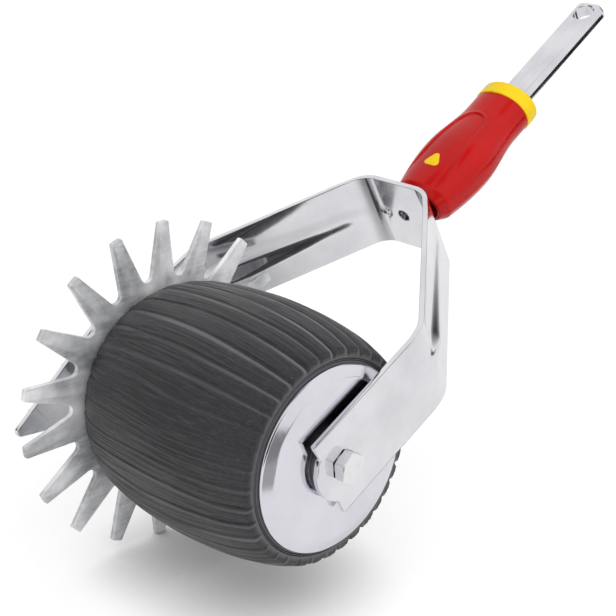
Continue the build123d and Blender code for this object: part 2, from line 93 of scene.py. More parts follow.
blade_left, blade_right = span("star_blade")
tyre_left, tyre_right = span("rubber_tyre")
disc_seat, disc_face = span("end_disc")
clamp_left = span("blade_clamp_plate")[0]
fork_right = span("fork")[1]
right_in = span("right_thrust_washer")[1]
left_in = span("left_spacer")[0]
strip_t = fork_right - right_in
bridge_out = reach("fork", v_axis, axle)[1]
grip_x = tang_end.x - axle.x
grip_root = axle + x_axis * grip_x + v_axis * bridge_out
tang_len = (tang_end - grip_root).dot(grip_axis)
tang_half_w = reach("tang", x_axis, grip_root)[1]
tang_half_t = lock_hole["dims"]["length_mm"] / 2 * MM
sleeve_foot, sleeve_head = reach("grip_sleeve", grip_axis, grip_root)
sleeve_len = sleeve_head - sleeve_foot
collar_head = reach("collar_ring", grip_axis, grip_root)[1]

# Sizes that a node's outer box doesn't give: tyre
TYRE_LEFT_R = 54.0 * MM
TYRE_RIGHT_R = 57.25 * MM
SHOULDER_LEN = 22.0 * MM
SHOULDER_DROP = 3.6 * MM
TYRE_WALL = 8.0 * MM
LEFT_ROUND = 2.5 * MM
RIGHT_ROUND = 1.3 * MM
SEAT_GAP = 0.05 * MM
TYRE_ROWS = 120
END_BUNCHING = 0.35
RING_ROWS = 21
RING_LINES = (0.34, 0.66)
RING_LINE_W = 0.07
RING_LINE_DEPTH = 0.7 * MM
RING_PALENESS = 0.5
BORE_ROWS = 14
TYRE_SHARP = radians(60)

# Tread. What has no unit is a share of a rib's pitch or of its height. One side of it is worn smooth, and there
# the painted crest highlight also fades, a painted shade on that side.
RIB_COUNT = 36
RIB_H = 2.0 * MM
RIB_STEPS = 28
RIB_SWAY = 0.08
CUT_RANGE = (0.6, 1.1)
GROOVE_HALF = 0.07
GROOVE_FLARE = 0.17
DARK_HALF = 0.12
LAND_SHARE = 0.52
CROWN_SHARE = 0.34
LIP_SHARE = 0.2
LIP_AT = 0.14
LIP_W = 0.05
MIDDLE_GAP = 0.6
RIGHT_GAP = 0.9
RIGHT_REACH = 24 * MM
LEFT_REACH = 7 * MM
LINES_AND_HEIGHTS = ((3, 0.10), (5, 0.08), (7, 0.05))
LINE_DRIFT = 0.5
WEAR_DRIFT = 0.45
MEAN_WEAR = 0.6
CREST_AT = 0.17
CREST_W = 0.10
CREST_HIGHLIGHT_LOSS = 0.85
WORN_AND_SHADED_AT = radians(130)
WORN_AND_SHADED_REACH = radians(43)
WORN_SHARE = 0.6

# Star blade and its clamp
SPIKE_COUNT = 18
SPIKE_TIP_W = 6.5 * MM
BLADE_FLOOR_R = 61.25 * MM
GULLET_R = 3.8 * MM
BLADE_BORE_R = 22.05 * MM
TIP_ROUND = 0.9 * MM
BLADE_EDGE = 0.35 * MM
CLAMP_EDGE = 0.5 * MM
CLAMP_CIRCLE_R = 36.0 * MM
CLAMP_COUNT = 6
CLAMP_HEAD_R = 4.75 * MM
CLAMP_HEAD_H = 2.8 * MM
CLAMP_HEAD_TAPER = 0.36
SOCKET_FLATS = 4.0 * MM
SOCKET_WALL = 0.7 * CLAMP_HEAD_H
SOCKET_FLOOR = 0.9 * CLAMP_HEAD_H

# End disc, axle and bearings
DISC_T = 1.6 * MM
DISC_RIM = 4.0 * MM
DISC_BEVEL = 6.6 * MM
DISC_ROUNDS = np.array((0.3, 0.3, 1.5, 6.0, 0.3, 0.3, 2.0, 0.5)) * MM
HUB_BORE_R = 11.1 * MM
BOLT_R = 5.0 * MM
BOLT_HOLE_R = 5.25 * MM
HEX_FLATS = 15.0 * MM
HEX_TURN = radians(8)
HEX_CHAMFER = radians(28)
HEX_CORNER = 0.985
HEX_FACE = 0.96
HEX_SHARP = radians(24)
HEAD_GAP = 0.6 * MM
THREAD_PITCH = 1.5 * MM
THREAD_H = 0.55 * MM
INSERT_PROUD = 0.4 * MM
INSERT_EDGE = 0.35 * MM
WASHER_EDGE = 0.4 * MM
SPACER_BORE_R = 8.05 * MM
FLANGE_R = 17.25 * MM

# Fork
STRIP_HALF = 24.25 * MM
BEND_HEIGHT = 73.0 * MM
BRIDGE_FLAT = 44.2 * MM
BRIDGE_SHIFT = 3.0 * MM
BRIDGE_BEND_R = 15.0 * MM
ARM_BEND_R = 24.0 * MM
ARM_END = 11.7 * MM
LUG_R = 19.2 * MM
CHEEK_NECK = 38.0 * MM
CHEEK_TOP_W = 34.0 * MM
CHEEK_TIP_V = 78.0 * MM
CHEEK_TIP_W = 15.9 * MM
CHEEK_HEEL_V = 16.0 * MM
CHEEK_CORNER_R = 9.0 * MM
CHEEK_TIP_R = 3.0 * MM
BEAD_LEN = 112.0 * MM
BEAD_HEAD_REACH = 7.0 * MM
BEAD_FOOT_REACH = 12.0 * MM
BEAD_HEAD_H = 1.2 * MM
BEAD_FOOT_H = 4.4 * MM
BEAD_SHIFT = -5.0 * MM
BEAD_DRAW = 2.2
BEAD_GROWTH = 1.5
EDGE_ROLL = 1.3 * MM
EDGE_ROLL_W = 10.0 * MM
EDGE_ROLL_FADE = 14.0 * MM
EDGE_ROLL_HEAD = 0.45
BRIDGE_HOLE_R = 3.75 * MM
BRIDGE_HOLE_X = 3.7 * MM
PUNCH_X = 16.7 * MM
PUNCH_R = 2.2 * MM
PUNCH_DEPTH = 0.7 * MM
PUNCH_SOFT = PUNCH_R / 3
FORK_EDGE = 0.45 * MM
BEAD_LINES = 33
SIDE_LINES = 24
ARM_SPACING = (6.0 * MM, 1.0 * MM, 1.4 * MM, 0.7 * MM)
LINE_SPACING = (*ARM_SPACING, 0.5 * MM, *ARM_SPACING[::-1])

# Tang, weld, sleeve, collar and inlay
TANG_TOP_INSET = 1.5 * MM
TANG_EDGE_R = 1.0 * MM
TANG_BREAK_R = 0.6 * MM
TANG_CHAMFER = 0.5 * MM
TANG_END_R = 5.0 * MM
TANG_HOLE_R = lock_hole["dims"]["r_mm"] * MM
TANG_SHARP = radians(30)
WELD_LEG = 4.0 * MM
WELD_RIPPLES = 26
WELD_RIPPLE_H = 0.07
SLEEVE_FOOT_RX = 17.6 * MM
SLEEVE_BELLY_RX = 22.6 * MM
SLEEVE_WAIST_RX = 18.4 * MM
SLEEVE_BELLY_AT = 37.5 * MM
SLEEVE_WAIST_AT = 74.0 * MM
SLEEVE_FLATNESS = 0.78
SLEEVE_FULLNESS = 2.25
SLEEVE_SHARP = radians(50)
RIDGE_SHARE = 0.014
RIDGE_DROP = 0.3
RIDGE_W = 0.1
RIDGE_FOOT = 8.0 * MM
RIDGE_HEAD = 25.0 * MM
FOOT_H = 5.0 * MM
FOOT_INSET = 2.4 * MM
FOOT_WALL = 2.0 * MM
FOOT_HOLLOW = 7.0 * MM
FOOT_EDGE_R = 0.8 * MM
FOOT_TOP_R = 2.5 * MM
PANEL_DEPTH = 0.9 * MM
PANEL_START = 4.0 * MM
PANEL_LEN = 62.5 * MM
PANEL_FOOT_HALF = 15.0 * MM
PANEL_HEAD_HALF = 10.0 * MM
PANEL_SOFT = 1.0 * MM
PANEL_RIM = 0.35 * MM
PANEL_RIM_AT = 0.9
PANEL_RIM_W = 0.7
PANEL_FADE = 2.4
COLLAR_RX = 19.4 * MM
COLLAR_RU = 15.6 * MM
COLLAR_ROUND = 1.8 * MM
COLLAR_FOOT_ROUND = 0.6 * MM
COLLAR_DEPTH = 5.0 * MM
INLAY_AT = 24.0 * MM
INLAY_W = 13.0 * MM
INLAY_H = 11.5 * MM
INLAY_CORNER_R = 2.2 * MM
INLAY_PROUD = 0.35 * MM
INLAY_SUNK = 0.9 * MM


def spread(origin, axes, places):
    """World points from arrays of places along three axes."""
    places = np.broadcast_arrays(*places)
    points = np.array(origin) + sum(p[..., None] * np.array(axis) for p, axis in zip(places, axes))
    return points.reshape(-1, 3)


def tool_points(x, v, w):
    """World points of places in the tool's axes."""
    return spread(axle, (x_axis, v_axis, w_axis), (x, v, w))


def grip_points(x, h, u):
    """World points of places in the grip's axes, with h counted from the bridge."""
    return spread(grip_root, (x_axis, grip_axis, grip_up), (x, h, u))


def smooth_step(t):
    """Eases from 0 to 1 as t goes from 0 to 1."""
    t = np.clip(t, 0, 1)
    return t * t * (3 - 2 * t)


def bell(t):
    """1 where t is 0, falling off softly to both sides."""
    return np.exp(-t ** 2)


def full_turn(steps):
    """Even angles round a full turn."""
    return np.linspace(0, TURN, steps, endpoint=False)


def grid_faces(rows, columns, close):
    """Quads over rows of points that run round; the last row joins the first where close is true."""
    i, j = np.meshgrid(np.arange(rows if close else rows - 1), np.arange(columns), indexing="ij")
    i_next = (i + 1) % rows
    j_next = (j + 1) % columns
    corners = (i * columns + j, i * columns + j_next, i_next * columns + j_next, i_next * columns + j)
    return np.stack(corners, axis=-1).reshape(-1, 4).tolist()


def rounded(corners, radii, steps=6):
    """Closed outline through corners, each rounded by an arc of its own radius."""
    outline = []
    for i, radius in enumerate(radii):
        here = np.array(corners[i], float)
        back = corners[i - 1] - here
        ahead = corners[(i + 1) % len(corners)] - here
        back = back / hypot(*back)
        ahead = ahead / hypot(*ahead)
        if radius == 0:
            outline.append(here)
            continue
        half = acos(max(-1, min(1, back @ ahead))) / 2
        middle = back + ahead
        centre = here + middle / hypot(*middle) * radius / sin(half)
        start = here + back * radius / tan(half) - centre
        end = here + ahead * radius / tan(half) - centre
        first = atan2(start[1], start[0])
        sweep = (atan2(end[1], end[0]) - first + pi) % TURN - pi
        for step in range(steps + 1):
            angle = first + sweep * step / steps
            outline.append(centre + radius * np.array((cos(angle), sin(angle))))
    return np.array(outline)


def oval(angle, power):
    """Places across and up on an oval at angles round it. A power below 1 makes it fuller."""
    across = np.sign(np.cos(angle)) * np.abs(np.cos(angle)) ** power
    up = np.sign(np.sin(angle)) * np.abs(np.sin(angle)) ** power
    return across, up


def add_object(name, data):
    """New object in the scene."""
    item = bpy.data.objects.new(name, data)
    bpy.context.scene.collection.objects.link(item)
    return item


def add_piece(node, points, faces, finish, body, edge=0, sharp=SHARP_ANGLE):
    """New object that rides on a body and stands for a CAD node; edge is the width of its rounded rims."""
    work = bmesh.new()
    corners = [work.verts.new(point) for point in points]
    for face in faces:
        work.faces.new([corners[i] for i in face])
    bmesh.ops.remove_doubles(work, verts=work.verts, dist=JOIN_DISTANCE)
    bmesh.ops.recalc_face_normals(work, faces=work.faces)
    if edge:
        rims = [line for line in work.edges if line.calc_face_angle(0) > RIM_ANGLE]
        bmesh.ops.bevel(work, geom=rims, offset=edge, segments=2, profile=0.5, affect="EDGES")
    mesh = bpy.data.meshes.new(node + "_form")
    work.to_mesh(mesh)
    work.free()
    mesh.shade_smooth()
    mesh.set_sharp_from_angle(angle=sharp)
    mesh.materials.append(finish)
    piece = add_object(node + "_form", mesh)
    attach(piece, body)
    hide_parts(node)
    return piece


def turned(node, rows, finish, body, steps=128, centres=((0, 0),), sharp=SHARP_ANGLE):
    """Piece turned about the axle, or about axes beside it, from a closed run of (x, radius) rows."""
    angle = full_turn(steps)
    places = [np.broadcast_arrays(x, r, angle) for x, r in rows]
    x, r, angle = (np.stack([place[i] for place in places]) for i in range(3))
    points = [tool_points(x, v + r * np.cos(angle), w + r * np.sin(angle)) for v, w in centres]
    faces = np.array(grid_faces(len(rows), steps, True))
    every = np.concatenate([faces + i * len(points[0]) for i in range(len(centres))])
    return add_piece(node, np.concatenate(points), every.tolist(), finish, body, sharp=sharp)


def ring_rows(x_from, x_to, inner_r, outer_r, edge):
    """Rows of a plain ring whose edges are rounded."""
    corners = ((x_from, inner_r), (x_from, outer_r), (x_to, outer_r), (x_to, inner_r))
    return rounded(corners, (edge,) * 4, steps=3)


def hex_radius(flats, steps):
    """Radius of a hexagon at even angles about the axle, its corners eased a little."""
    angle = full_turn(steps) - HEX_TURN
    off_flat = (angle % (TURN / 6)) - TURN / 12
    return np.minimum(flats / 2 / np.cos(off_flat), flats / 2 / cos(TURN / 12) * HEX_CORNER)


# Tyre: a barrel with shallow wavy ribs, rounded ends and a seat for the disc
def barrel_radius(x):
    """Radius over the ribs: a crown arc that runs into a tangent arc at each end."""
    crown_r = radius_of("rubber_tyre")
    middle = (tyre_left + tyre_right) / 2
    half = (tyre_right - tyre_left) / 2 - SHOULDER_LEN
    crown_bend = (half ** 2 + SHOULDER_DROP ** 2) / (2 * SHOULDER_DROP)
    radius = crown_r - crown_bend + np.sqrt(np.maximum(crown_bend ** 2 - (x - middle) ** 2, 0))
    for end_x, end_r, side in ((tyre_left, TYRE_LEFT_R, -1), (tyre_right, TYRE_RIGHT_R, 1)):
        start = np.array((middle + side * half, crown_r - SHOULDER_DROP))
        normal = -np.array((side * half, crown_bend - SHOULDER_DROP)) / crown_bend
        chord = (end_x, end_r) - start
        bend = chord @ chord / (2 * chord @ normal)
        centre = start + normal * bend
        arc = centre[1] + np.sqrt(np.maximum(bend ** 2 - (x - centre[0]) ** 2, 0))
        radius = np.where((x - start[0]) * side > 0, arc, radius)
    return radius


def wander(draw, share, angle, size):
    """Slow random drift over rows of share along the tyre and columns of angle round it."""
    total = 0
    knots = np.linspace(0, TURN, RIB_COUNT + 1)
    for wave in (1, 2, 3):
        swing = draw.normal(0, size / wave, RIB_COUNT)
        swing = swing * np.sin(pi * wave * share + draw.uniform(0, TURN, RIB_COUNT))
        ring = np.concatenate((swing, swing[:, :1]), axis=1)
        total = total + np.stack([np.interp(angle[0], knots, row) for row in ring])
    return total


def rib_pattern(x, angle):
    """Depth below the highest rib, and strength of grooves and crests, over rows of x, columns of angle."""
    draw = np.random.default_rng(SEED)
    share = (x - tyre_left) / (tyre_right - tyre_left)
    sway = wander(draw, share, angle, RIB_SWAY)
    worn_and_shaded_side = bell(((angle - WORN_AND_SHADED_AT + pi) % TURN - pi) / WORN_AND_SHADED_REACH)
    cut = draw.uniform(*CUT_RANGE, RIB_COUNT)
    cut = np.interp(angle[0], np.linspace(0, TURN, RIB_COUNT + 1), np.append(cut, cut[0]))
    depth = cut * (1 - WORN_SHARE * worn_and_shaded_side)
    ribs = angle / TURN * RIB_COUNT + sway
    along = ribs % 1
    off_groove = np.minimum(along, 1 - along)
    to_right = np.exp(-(tyre_right - x) / RIGHT_REACH)
    to_left = np.exp(-(x - tyre_left) / LEFT_REACH)
    land = smooth_step(off_groove / (GROOVE_HALF + GROOVE_FLARE * to_right))
    crown = 1 - (1 - 2 * off_groove) ** 2
    lip = LIP_SHARE * bell((along - LIP_AT) / LIP_W)
    lines = 0
    for per_rib, size in LINES_AND_HEIGHTS:
        drift = wander(draw, share, angle, LINE_DRIFT)
        fade = 0.5 + 0.5 * np.sin(TURN * wander(draw, share, angle, WEAR_DRIFT))
        lines = lines + size * fade * np.sin(TURN * (ribs * per_rib + drift))
    gap = depth * (MIDDLE_GAP + RIGHT_GAP * to_right) + cut * to_left
    height = 1 - gap * (1 - LAND_SHARE * land - CROWN_SHARE * crown - lip) + lines * land
    groove = depth * (1 - smooth_step(off_groove / DARK_HALF))
    worn = np.clip(MEAN_WEAR + wander(draw, share, angle, WEAR_DRIFT), 0, 1)
    # Painted highlight on the crests, taken down on one side as painted shade
    crest = bell((along - CREST_AT) / CREST_W) * worn * (1 - CREST_HIGHLIGHT_LOSS * worn_and_shaded_side)
    return height - height.max(), groove, crest


def build_tyre(finish):
    """Ribbed outer face, both end faces, the disc's seat and the bore, as one closed skin."""
    columns = RIB_COUNT * RIB_STEPS
    angle = full_turn(columns)[None, :]
    even = np.linspace(0, 1, TYRE_ROWS)[:, None]
    bunched = (1 - np.cos(pi * even)) / 2
    x = tyre_left + (tyre_right - tyre_left) * (END_BUNCHING * bunched + (1 - END_BUNCHING) * even)
    height, groove, crest = rib_pattern(x, angle)
    outer = barrel_radius(x) + RIB_H * height
    for distance, room in ((x - tyre_left, LEFT_ROUND), (tyre_right - x, RIGHT_ROUND)):
        inside = np.maximum(room - distance, 0)
        outer = outer - (room - np.sqrt(np.maximum(room ** 2 - inside ** 2, 0)))
    rows = [(x[i, 0], outer[i]) for i in range(TYRE_ROWS)]
    seat_r = radius_of("end_disc") + SEAT_GAP
    ring_r = outer[-1].min()
    ring_paleness = []
    # The end ring is made paler, less so along its two lines, through the crest highlight's channel
    for t in np.linspace(0, 1, RING_ROWS + 1)[1:]:
        dip = sum(bell((t - place) / RING_LINE_W) for place in RING_LINES)
        rows.append((tyre_right - RING_LINE_DEPTH * dip, ring_r + (seat_r - ring_r) * t))
        ring_paleness.append(np.full(columns, RING_PALENESS * (1 - dip)))
    crest = np.concatenate((crest, ring_paleness))
    rows.append((disc_seat, seat_r))
    for place in np.linspace(disc_seat, tyre_left, BORE_ROWS):
        rows.append((place, barrel_radius(place) - RIB_H - TYRE_WALL))
    tyre = turned("rubber_tyre", rows, finish, "roller", steps=columns, sharp=TYRE_SHARP)
    for name, strength in (("groove", groove), ("crest", crest)):
        values = np.zeros(len(tyre.data.vertices), np.float32)
        values[: strength.size] = strength.ravel()
        tyre.data.attributes.new(name, "FLOAT", "POINT").data.foreach_set("value", values)


# Star blade
def build_blade(finish):
    """Flat disc whose rim is cut into blunt spikes with round-floored gaps between them."""
    tip_r = radius_of("star_blade")
    step = TURN / SPIKE_COUNT
    tip_half = asin(SPIKE_TIP_W / 2 / tip_r)
    corner_r = tip_r * cos(step / 2 - tip_half)
    corner_w = tip_r * sin(step / 2 - tip_half)
    run = corner_r - BLADE_FLOOR_R - GULLET_R
    flank = atan2(corner_w, run) - asin(GULLET_R / hypot(corner_w, run))
    apex_r = corner_r - corner_w / tan(flank)
    corners = []
    for spike in range(SPIKE_COUNT):
        for radius, angle in ((tip_r, -tip_half), (tip_r, tip_half), (apex_r, step / 2)):
            corners.append((radius * cos(spike * step + angle), radius * sin(spike * step + angle)))
    rim = rounded(corners, (TIP_ROUND, TIP_ROUND, GULLET_R) * SPIKE_COUNT, steps=7)
    bore = rim / np.hypot(rim[:, :1], rim[:, 1:]) * BLADE_BORE_R
    rings = ((blade_left, bore), (blade_left, rim), (blade_right, rim), (blade_right, bore))
    points = np.concatenate([tool_points(x, *ring.T) for x, ring in rings])
    faces = grid_faces(4, len(rim), True)
    add_piece("star_blade", points, faces, finish, "roller", edge=BLADE_EDGE)


def build_clamp(finish, screw_finish):
    """Clamp plate with rounded edges, and its socket-headed screws."""
    rows = ring_rows(clamp_left, blade_left, FLANGE_R, radius_of("blade_clamp_plate"), CLAMP_EDGE)
    turned("blade_clamp_plate", rows, finish, "roller")
    steps = 48
    socket = hex_radius(SOCKET_FLATS, steps)
    top = clamp_left - CLAMP_HEAD_H
    tip = span("blade_screws")[1]
    rows = [(tip, 0), (tip, CLAMP_HEAD_R / 2), (clamp_left, CLAMP_HEAD_R / 2), (clamp_left, CLAMP_HEAD_R)]
    for t in np.linspace(0.1, 1, 9):
        head_r = CLAMP_HEAD_R * (1 - CLAMP_HEAD_TAPER * t ** 3)
        rows.append((clamp_left - CLAMP_HEAD_H * sin(pi / 2 * t), head_r))
    rows += [(top, socket), (top + SOCKET_WALL, socket), (top + SOCKET_FLOOR, 0)]
    turns = [TURN * i / CLAMP_COUNT for i in range(CLAMP_COUNT)]
    centres = [(CLAMP_CIRCLE_R * cos(turn), CLAMP_CIRCLE_R * sin(turn)) for turn in turns]
    turned("blade_screws", rows, screw_finish, "roller", steps=steps, centres=centres)


# End disc and axle
def build_disc(finish):
    """Pressed disc: a short rim, a soft bevel and a flat face."""
    rim_r = radius_of("end_disc")
    rim_x = disc_seat + DISC_RIM
    corners = (
        (disc_seat, rim_r - DISC_T),
        (disc_seat, rim_r),
        (rim_x, rim_r),
        (disc_face, rim_r - DISC_BEVEL),
        (disc_face, HUB_BORE_R),
        (disc_face - DISC_T, HUB_BORE_R),
        (disc_face - DISC_T, rim_r - DISC_BEVEL - DISC_T / 2),
        (rim_x - DISC_T / 2, rim_r - DISC_T),
    )
    turned("end_disc", rounded(corners, DISC_ROUNDS, steps=10), finish, "roller", steps=256)


def hex_rows(base, top, bore_r, steps, both_ends):
    """Rows of a hexagon from base to top, its corners turned down to a cone at the top, or at both ends."""
    side = hex_radius(HEX_FLATS, steps)
    flat_r = HEX_FLATS / 2 * HEX_FACE
    cone = (side - flat_r) * tan(HEX_CHAMFER) * copysign(1, top - base)
    lift = copysign(HEAD_GAP, top - base)
    foot = [(base, flat_r - HEAD_GAP), (base + lift, flat_r - HEAD_GAP), (base + lift, side)]
    if both_ends:
        foot = [(base, flat_r), (base + cone, side)]
    return [(base, bore_r), *foot, (top - cone, side), (top, flat_r), (top, bore_r)]


def build_axle(finish, nylon):
    """Bolt with its thread, lock nut with its nylon ring, washers and spacer."""
    steps = 144
    bolt_end, bolt_head = span("axle_bolt")
    nut_end, nut_seat = span("axle_nut")
    rows = hex_rows(fork_right, bolt_head, 0, steps, False)
    rows[0] = (fork_right, BOLT_R)
    rows += [(bolt_end, 0), (bolt_end, BOLT_R - 2 * THREAD_H)]
    place = bolt_end + THREAD_PITCH / 2
    while place < nut_seat:
        rows += [(place, BOLT_R), (place + THREAD_PITCH / 2, BOLT_R - THREAD_H)]
        place += THREAD_PITCH
    turned("axle_bolt", rows, finish, "root", steps=steps, sharp=HEX_SHARP)
    rows = hex_rows(nut_seat, nut_end, BOLT_R + SEAT_GAP, steps, True)
    turned("axle_nut", rows, finish, "root", steps=steps, sharp=HEX_SHARP)
    ends = (nut_end - INSERT_PROUD, span("nut_insert")[1])
    rows = ring_rows(*ends, BOLT_R + SEAT_GAP, radius_of("nut_insert"), INSERT_EDGE)
    turned("nut_insert", rows, nylon, "root")
    for node, inner_r in (("nut_washer", BOLT_HOLE_R), ("left_spacer", SPACER_BORE_R)):
        rows = ring_rows(*span(node), inner_r, radius_of(node), WASHER_EDGE)
        turned(node, rows, finish, "root")


# Fork
def bent_path(corners, radii):
    """Straight runs and arcs along corners in the x-v plane, each as (length, start, heading, bend)."""
    runs = []
    here = np.array(corners[0])
    for i in range(1, len(corners)):
        corner = np.array(corners[i])
        heading = atan2(*(corner - here)[::-1])
        length = hypot(*(corner - here))
        if i == len(corners) - 1:
            runs.append((length, here, heading, 0))
            continue
        after = corners[i + 1] - corner
        turn = (atan2(after[1], after[0]) - heading + pi) % TURN - pi
        cut = radii[i - 1] * tan(abs(turn) / 2)
        start = corner + (here - corner) / length * cut
        runs.append((length - cut, here, heading, 0))
        runs.append((radii[i - 1] * abs(turn), start, heading, copysign(1 / radii[i - 1], turn)))
        here = corner + after / hypot(*after) * cut
    return runs


def follow_path(runs, s):
    """Points and outward normals in the x-v plane at distances s along a path."""
    points = np.zeros((len(s), 2))
    normals = np.zeros((len(s), 2))
    run_start = 0
    for length, start, heading, bend in runs:
        on_run = s >= run_start - TOUCH
        t = s[on_run] - run_start
        angle = heading + bend * t
        if bend:
            step = np.stack((np.sin(angle) - sin(heading), cos(heading) - np.cos(angle)), axis=1) / bend
        else:
            step = np.stack((t * cos(heading), t * sin(heading)), axis=1)
        points[on_run] = start + step
        normals[on_run] = np.stack((np.sin(angle), -np.cos(angle)), axis=1)
        run_start += length
    return points, normals


def clip(outline, axis, limit, side):
    """Part of a flat outline where its axis lies beyond a limit, on side 1, or short of it, on side -1."""
    kept = []
    for i, end in enumerate(outline):
        start = outline[i - 1]
        start_in = (start[axis] - limit) * side
        end_in = (end[axis] - limit) * side
        if start_in * end_in < 0:
            share = start_in / (start_in - end_in)
            cross = [start[0] + (end[0] - start[0]) * share, start[1] + (end[1] - start[1]) * share]
            cross[axis] = limit
            kept.append(tuple(cross))
        if end_in >= 0:
            kept.append(end)
    return kept


def split_at_hole(outline, place, radius):
    """Both parts of an outline cut across the middle of a round hole, each with half the hole."""
    parts = []
    arc = np.linspace(-pi / 2, pi / 2, 17)
    for side in (-1, 1):
        part = clip(outline, 0, place, side)
        half_hole = [(place + side * radius * cos(a), radius * sin(a)) for a in arc]
        for i, end in enumerate(part):
            if abs(end[0] - place) < TOUCH and abs(part[i - 1][0] - place) < TOUCH:
                inserted = half_hole if end[1] > part[i - 1][1] else half_hole[::-1]
                part = part[:i] + inserted + part[i:]
                break
        parts.append(part)
    return parts


def cells(outline, s_lines, w_lines):
    """Pieces of a flat outline between neighbouring grid lines."""
    found = []
    for s_from, s_to in zip(s_lines[:-1], s_lines[1:]):
        strip = clip(clip(outline, 0, s_from, 1), 0, s_to, -1)
        if len(strip) < 3:
            continue
        for w_from, w_to in zip(w_lines[:-1], w_lines[1:]):
            cell = clip(clip(strip, 1, w_from, 1), 1, w_to, -1)
            s, w = np.array(cell).T if cell else (np.zeros(0), np.zeros(0))
            if abs(s @ np.roll(w, 1) - w @ np.roll(s, 1)) > LEAST_AREA:
                found.append(cell)
    return found


def fork_outline(total):
    """Outline of the fork's strip laid flat: a round lug at its start, a pointed cheek at its end."""
    hole = total - CHEEK_TIP_V
    lug = [(LUG_R - LUG_R * cos(a), LUG_R * sin(a)) for a in np.linspace(-1, 1, 25) * acos(ARM_END / LUG_R)]
    cheek = (
        (hole - CHEEK_NECK, -STRIP_HALF),
        (hole + CHEEK_HEEL_V, -STRIP_HALF),
        (hole + CHEEK_TIP_V, CHEEK_TIP_W),
        (hole, CHEEK_TOP_W),
        (hole - CHEEK_NECK, STRIP_HALF),
    )
    cheek = rounded(cheek, (0, CHEEK_CORNER_R, CHEEK_TIP_R, CHEEK_CORNER_R, 0))
    shoulder = LUG_R - ARM_END
    head = [(shoulder, STRIP_HALF), *lug[::-1], (shoulder, -STRIP_HALF)]
    return head + [tuple(point) for point in cheek]


def build_fork(finish):
    """Bent strip with a lug, a cheek and holes; each shoulder has a pressed bead and a rolled upper edge."""
    bridge_left = grip_x - BRIDGE_SHIFT - BRIDGE_FLAT / 2
    bridge_right = bridge_left + BRIDGE_FLAT
    bridge_in = bridge_out - strip_t
    corners = ((right_in, -LUG_R), (right_in, BEND_HEIGHT), (bridge_right, bridge_in))
    corners += ((bridge_left, bridge_in), (left_in, BEND_HEIGHT), (left_in, -CHEEK_TIP_V))
    runs = bent_path(corners, (ARM_BEND_R, BRIDGE_BEND_R, BRIDGE_BEND_R, ARM_BEND_R))
    starts = np.concatenate(((0,), np.cumsum([run[0] for run in runs])))
    s_lines = [0]
    for start, run, gap in zip(starts, runs, LINE_SPACING):
        count = max(1, round(run[0] / gap))
        s_lines += [start + run[0] * (i + 1) / count for i in range(count)]
    fine = np.linspace(-BEAD_FOOT_REACH, BEAD_FOOT_REACH, BEAD_LINES)
    coarse = np.linspace(BEAD_FOOT_REACH, CHEEK_TOP_W + MM, SIDE_LINES)[1:]
    w_lines = [*(-coarse[::-1]), *fine, *coarse]
    bridge_hole = starts[4] + runs[4][1][0] - (grip_x - BRIDGE_HOLE_X)
    punch = starts[4] + runs[4][1][0] - (grip_x - PUNCH_X)
    total = starts[-1]
    lug, rest = split_at_hole(fork_outline(total), LUG_R, BOLT_HOLE_R)
    right_half, rest = split_at_hole(rest, bridge_hole, BRIDGE_HOLE_R)
    left_half, cheek = split_at_hole(rest, total - CHEEK_TIP_V, BOLT_HOLE_R)
    flat = [cell for part in (lug, right_half, left_half, cheek) for cell in cells(part, s_lines, w_lines)]
    index = {}
    faces = []
    for cell in flat:
        ring = [index.setdefault((round(s, 7), round(w, 7)), len(index)) for s, w in cell]
        ring = [corner for i, corner in enumerate(ring) if corner != ring[i - 1]]
        if len(set(ring)) > 2:
            faces.append(ring)
    s, w = np.array(list(index)).T
    points, normals = follow_path(runs, s)
    rise = np.zeros(len(s))
    for i, toward_bridge in ((2, 1), (6, -1)):
        length, start, heading, _ = runs[i]
        middle = np.mean(corners[i // 2:i // 2 + 2], axis=0)
        centre = starts[i] + (middle - start) @ (cos(heading), sin(heading)) + toward_bridge * BEAD_SHIFT
        along = (s - centre) * toward_bridge
        share = np.clip(0.5 - along / BEAD_LEN, 0, 1)
        reach_here = BEAD_HEAD_REACH + (BEAD_FOOT_REACH - BEAD_HEAD_REACH) * share
        past = np.maximum(np.abs(along) / BEAD_DRAW - (BEAD_LEN / 2 / BEAD_DRAW - reach_here), 0)
        bead_h = BEAD_HEAD_H + (BEAD_FOOT_H - BEAD_HEAD_H) * share ** BEAD_GROWTH
        rise += bead_h * smooth_step(1 - np.hypot(past, w) / reach_here)
        roll = EDGE_ROLL * (EDGE_ROLL_HEAD + (1 - EDGE_ROLL_HEAD) * share)
        roll = roll * smooth_step((BEAD_LEN / 2 - np.abs(along)) / EDGE_ROLL_FADE)
        rise += roll * np.clip(1 - (STRIP_HALF - w) / EDGE_ROLL_W, 0, 1) ** 2
    off_punch = np.hypot(s - punch, w)
    dimple = PUNCH_DEPTH * bell((off_punch - PUNCH_R) / PUNCH_SOFT)
    inner = points + normals * (rise + dimple)[:, None]
    outer = points + normals * (rise + strip_t)[:, None]
    skins = np.concatenate((inner, outer))
    both_w = np.concatenate((w, w))
    below = [face[::-1] for face in faces]
    above = [[corner + len(s) for corner in face] for face in faces]
    used = dict.fromkeys((face[i - 1], corner) for face in faces for i, corner in enumerate(face))
    walls = [(a, b, b + len(s), a + len(s)) for a, b in used if (b, a) not in used]
    every = below + above + walls
    world = tool_points(skins[:, 0], skins[:, 1], both_w)
    add_piece("fork", world, every, finish, "root", edge=FORK_EDGE)


